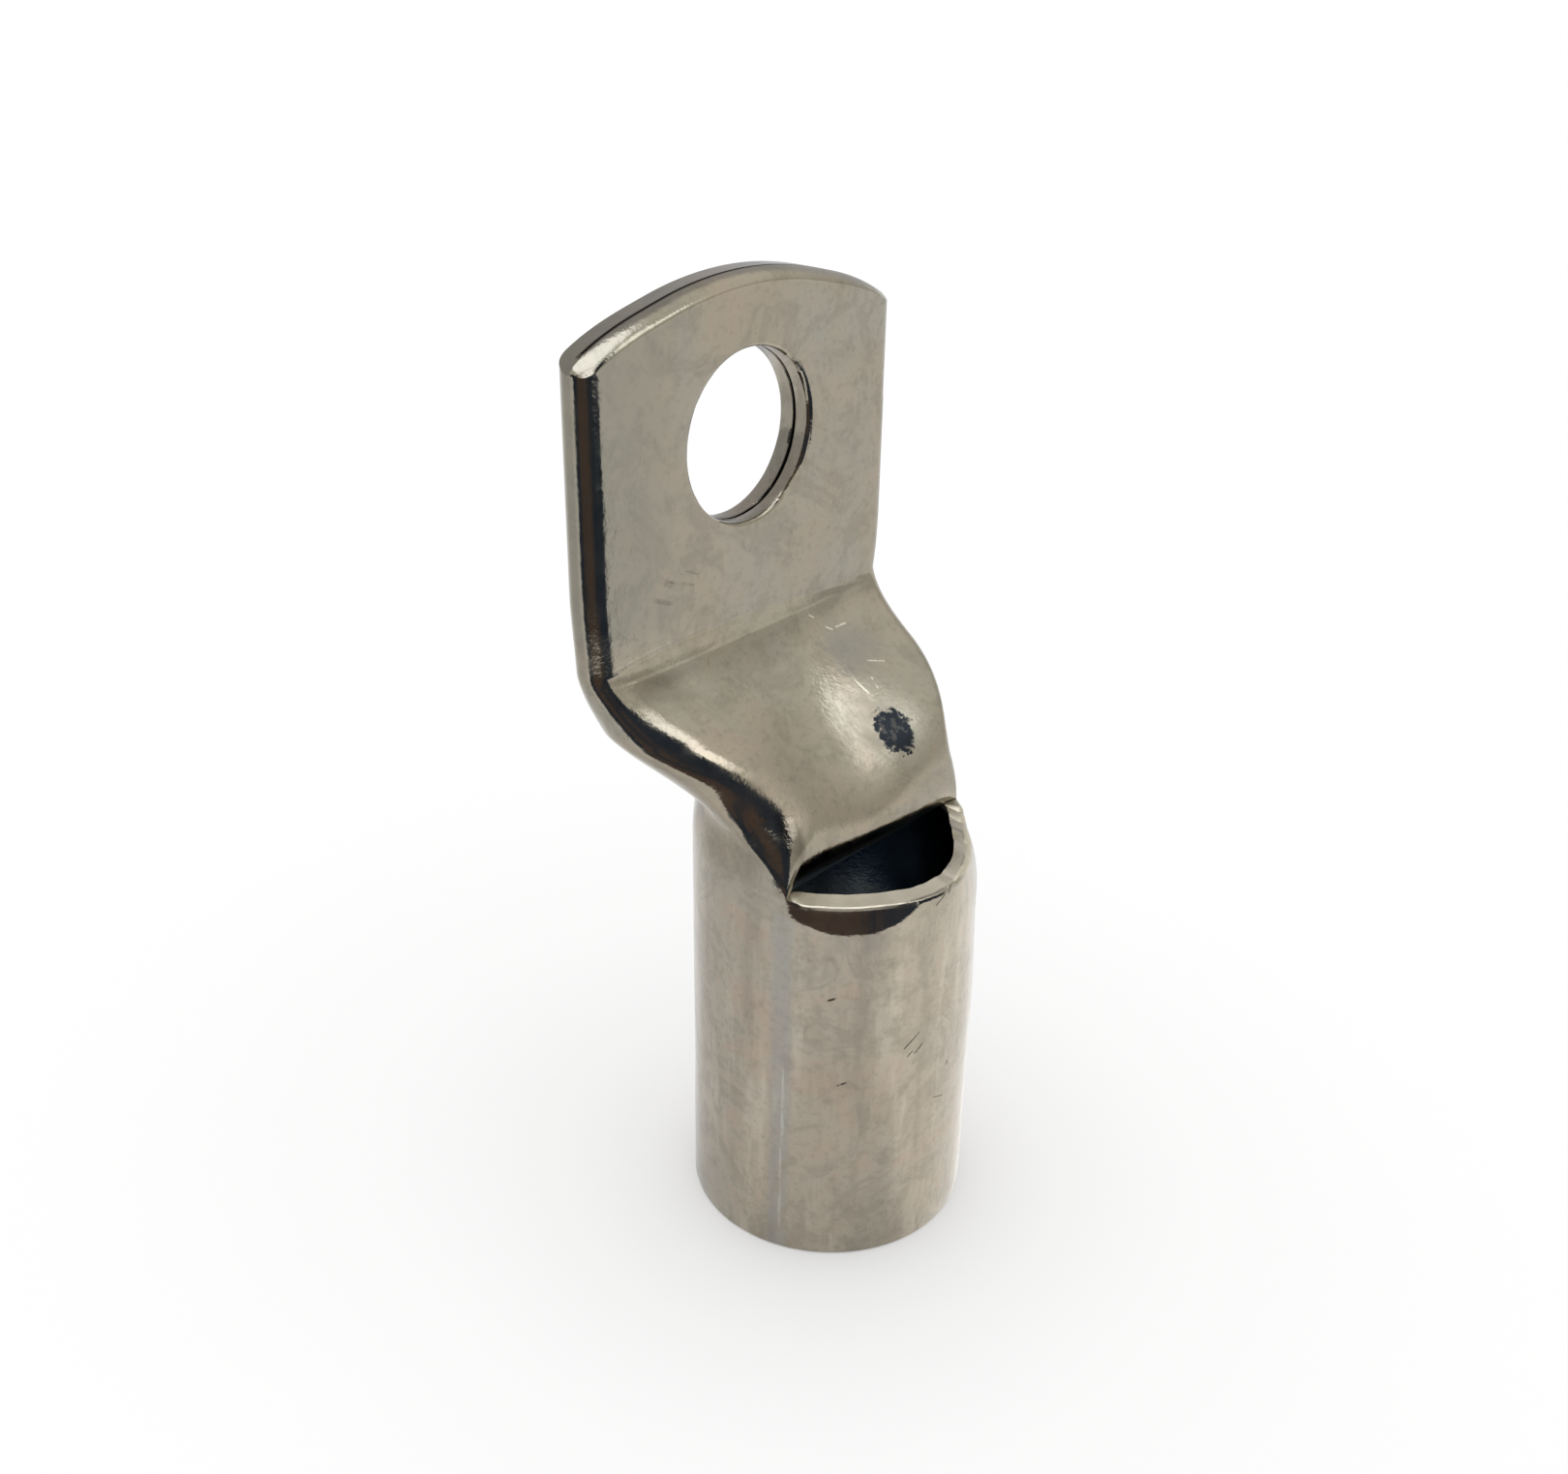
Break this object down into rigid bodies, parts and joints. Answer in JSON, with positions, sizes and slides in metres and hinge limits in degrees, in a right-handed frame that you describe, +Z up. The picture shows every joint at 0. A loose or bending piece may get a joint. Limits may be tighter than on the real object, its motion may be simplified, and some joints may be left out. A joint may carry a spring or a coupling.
{
  "type": "tubular cable lug",
  "caption": "Tinned copper crimp lug: round barrel with an inspection window, pressed into an offset flat palm with an arched top and a bolt hole.",
  "frame": {"origin": "centre of the barrel's mouth", "axes": "+Z up the barrel's axis towards the palm, X across the palm, +Y towards the contact face, -Y towards the inspection window"},
  "size_m": [0.043, 0.0309, 0.097],
  "materials": {
    "tinned_copper": "satin tin plate with soft beige and grey stains, brighter on the folds"
  },
  "bodies": {
    "root": {"cable_lug": "tinned_copper"}
  },
  "joints": []
}
